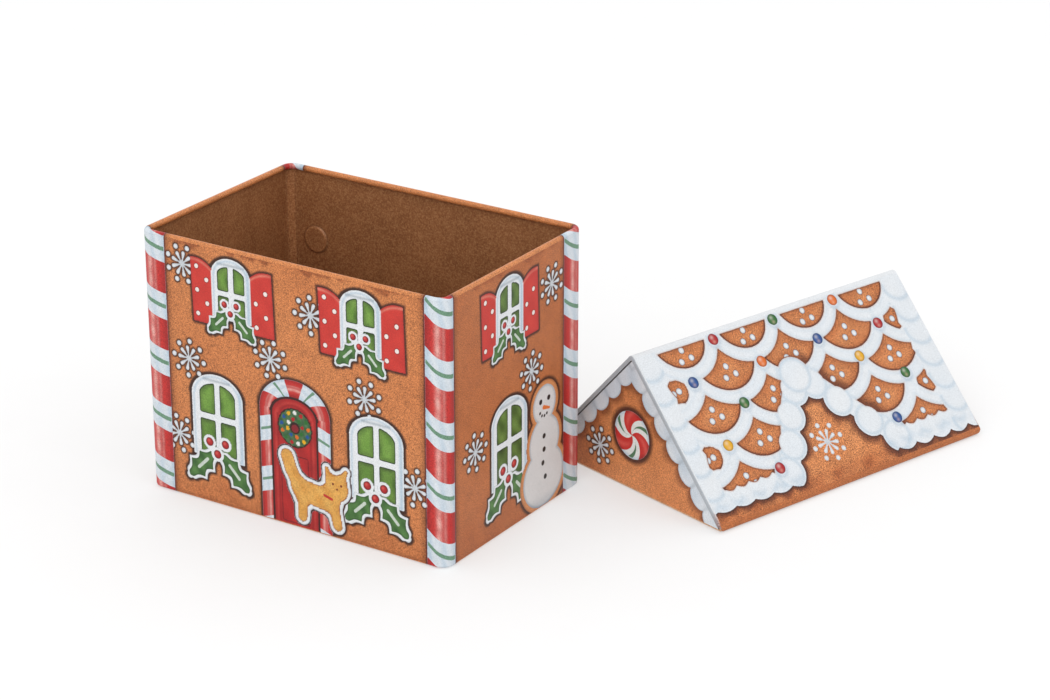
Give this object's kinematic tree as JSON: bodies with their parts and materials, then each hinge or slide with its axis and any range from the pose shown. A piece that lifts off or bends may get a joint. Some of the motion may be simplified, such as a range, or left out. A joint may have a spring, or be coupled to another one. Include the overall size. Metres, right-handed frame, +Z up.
{
  "type": "cookie tin",
  "caption": "House-shaped cookie tin in printed tinplate: open rectangular box with an inward-curled rim, and a separate hollow gable-roof lid lying beside it.",
  "frame": {"origin": "centre of the box's underside, on the table plane", "axes": "+Z up; +X along the box's long walls; -Y is the long wall with the printed door. The lid lies beyond the +X, +Y corner, its ridge turned 73 degrees from +X"},
  "size_m": [0.3061, 0.3064, 0.13],
  "materials": {
    "wall_print": "satin litho print on tinplate",
    "inside_lacquer": "satin bronze-brown lacquer on tinplate",
    "roof_print": "satin litho print on tinplate",
    "gable_print": "satin litho print on tinplate"
  },
  "bodies": {
    "box": {"body_wall": "wall_print", "bottom_panel": "inside_lacquer"},
    "lid": {"roof_sheet": "roof_print", "gable_panel_near": "gable_print", "gable_panel_far": "gable_print"}
  },
  "joints": [
    {"name": "lid_lift", "type": "slide", "parent": "box", "child": "lid", "axis": [0, 0, 1], "range_m": [0, 0.2]}
  ]
}
